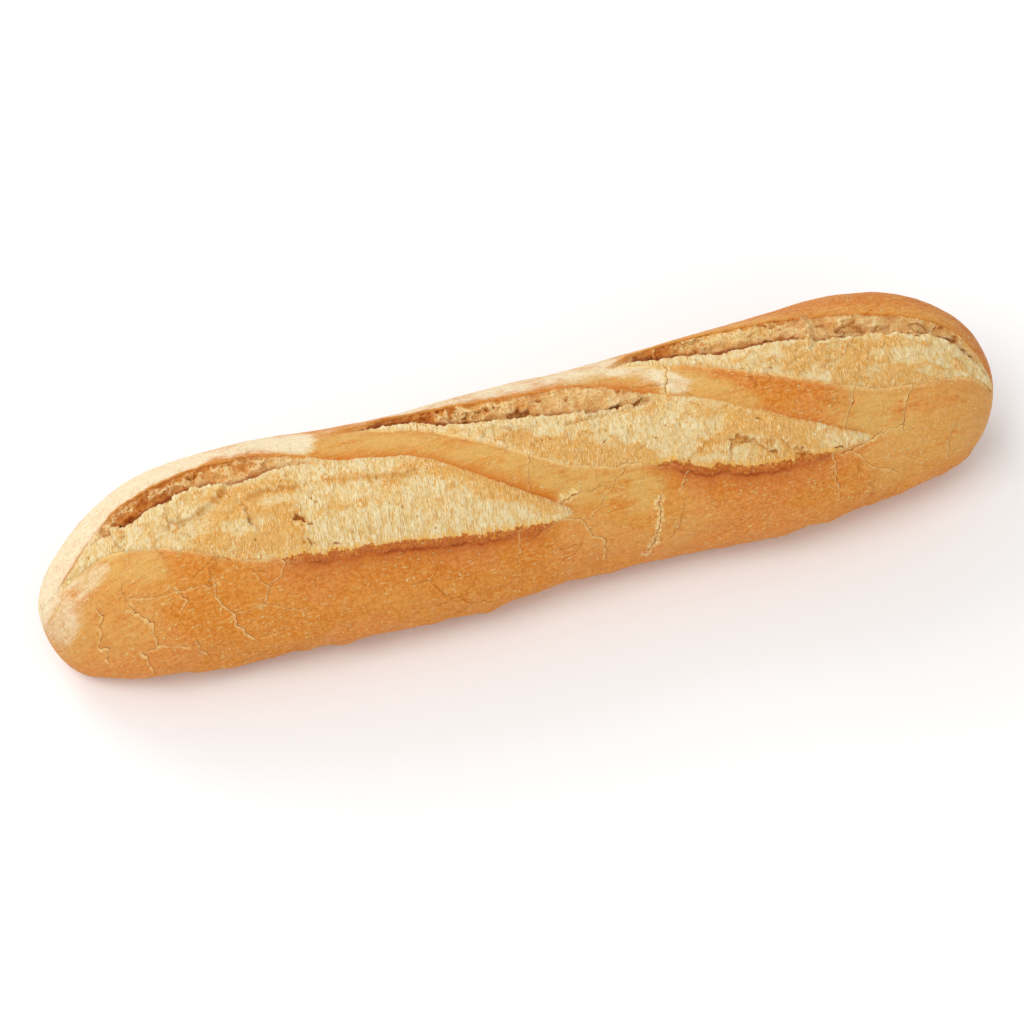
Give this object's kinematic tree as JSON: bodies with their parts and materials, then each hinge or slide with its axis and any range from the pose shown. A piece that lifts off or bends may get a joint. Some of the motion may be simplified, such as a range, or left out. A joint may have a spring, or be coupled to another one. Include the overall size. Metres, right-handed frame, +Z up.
{
  "type": "baguette",
  "caption": "Short crusty white baguette with rounded ends and slanting cuts torn open across its top, resting on its flat base.",
  "frame": {"origin": "middle of the loaf's footprint, on the surface it rests on", "axes": "+X along the loaf towards the end where the last cut runs out, +Z up, -Y towards the side that the cuts slant down to"},
  "size_m": [0.32, 0.0752, 0.0583],
  "materials": {
    "crust": "dull baked crust, light golden brown, with pale torn crumb in the cuts"
  },
  "bodies": {
    "root": {"loaf": "crust"}
  },
  "joints": []
}
